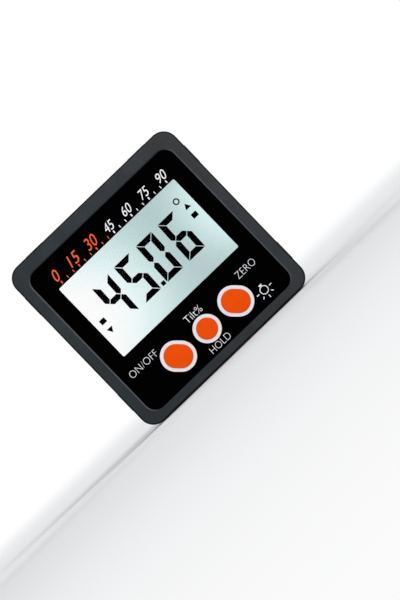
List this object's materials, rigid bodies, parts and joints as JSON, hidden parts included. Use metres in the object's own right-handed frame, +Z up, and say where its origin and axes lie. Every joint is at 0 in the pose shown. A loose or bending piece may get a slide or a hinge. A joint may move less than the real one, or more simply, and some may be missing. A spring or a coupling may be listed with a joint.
{
  "type": "digital inclinometer",
  "caption": "Square magnetic angle gauge with a liquid-crystal display, sprung push keys and a sliding battery door; it stands on lands of its base.",
  "frame": {"origin": "middle of the base, on the plane of the lands that it stands on, midway between the key crowns and the back", "axes": "+X to the right of a person who reads the display, +Y from the display to the back, +Z up"},
  "size_m": [0.0584, 0.028, 0.0564],
  "materials": {
    "case_plastic": "dark grey moulded ABS with a fine spark-eroded texture",
    "panel_black": "black printed acrylic, polished",
    "window_clear": "clear acrylic, polished",
    "tape_white": "double-sided adhesive tape",
    "bezel_white": "white moulded ABS",
    "key_orange": "orange moulded ABS",
    "switch_black": "black moulded nylon",
    "foam_black": "closed-cell foam",
    "polariser_film": "polarising film",
    "display_glass": "soda-lime glass",
    "edge_seal": "cured epoxy seal",
    "segment_black": "lit liquid-crystal segments, black",
    "light_guide": "frosted acrylic light guide",
    "reflector_white": "white polyester film",
    "led_white": "white LED packages",
    "holder_white": "white moulded ABS",
    "zebra_rubber": "silicone with carbon layers",
    "board_green": "glass-epoxy board with green solder mask",
    "screw_steel": "zinc-plated steel",
    "chip_black": "moulded epoxy package",
    "sensor_ceramic": "ceramic package",
    "crystal_can": "nickel-plated can",
    "magnet_nickel": "nickel-plated neodymium",
    "cell_jacket": "plain printed jacket over a steel can",
    "contact_nickel": "nickel-plated spring steel",
    "spring_steel": "nickel-plated spring wire"
  },
  "bodies": {
    "case": {"backlight_leds": "led_white", "backlight_reflector": "reflector_white", "base_magnets": "magnet_nickel", "battery_springs": "spring_steel", "board_screws": "screw_steel", "button_bezel": "bezel_white", "case_screws": "screw_steel", "chip_capacitors": "sensor_ceramic", "contact_bridge": "contact_nickel", "controller_chip": "chip_black", "crystal": "crystal_can", "display_foam_pad": "foam_black", "display_window": "window_clear", "front_case": "case_plastic", "front_panel": "panel_black", "front_polariser": "polariser_film", "hold_switch": "switch_black", "lcd_front_glass": "display_glass", "lcd_gasket": "foam_black", "lcd_holder": "holder_white", "lcd_rear_glass": "display_glass", "lcd_seal": "edge_seal", "lcd_segments": "segment_black", "left_cell": "cell_jacket", "left_magnets": "magnet_nickel", "light_guide": "light_guide", "main_board": "board_green", "negative_contact": "contact_nickel", "on_off_switch": "switch_black", "panel_tape": "tape_white", "positive_contact": "contact_nickel", "rear_case": "case_plastic", "rear_polariser": "polariser_film", "right_cell": "cell_jacket", "right_magnets": "magnet_nickel", "tilt_sensor": "sensor_ceramic", "top_magnets": "magnet_nickel", "zebra_strip": "zebra_rubber", "zero_switch": "switch_black"},
    "on_off_key": {"on_off_button": "key_orange", "on_off_plunger": "switch_black"},
    "hold_key": {"hold_button": "key_orange", "hold_plunger": "switch_black"},
    "zero_key": {"zero_button": "key_orange", "zero_plunger": "switch_black"},
    "door": {"battery_door": "case_plastic"}
  },
  "joints": [
    {"name": "on_off_press", "type": "slide", "parent": "case", "child": "on_off_key", "axis": [0, 1, 0], "range_m": [0, 0.00025], "stiffness_N_per_m": 1500},
    {"name": "hold_press", "type": "slide", "parent": "case", "child": "hold_key", "axis": [0, 1, 0], "range_m": [0, 0.00025], "stiffness_N_per_m": 1500},
    {"name": "zero_press", "type": "slide", "parent": "case", "child": "zero_key", "axis": [0, 1, 0], "range_m": [0, 0.00025], "stiffness_N_per_m": 1500},
    {"name": "door_slide", "type": "slide", "parent": "case", "child": "door", "axis": [0, 0, 1], "range_m": [0, 0.05]}
  ]
}
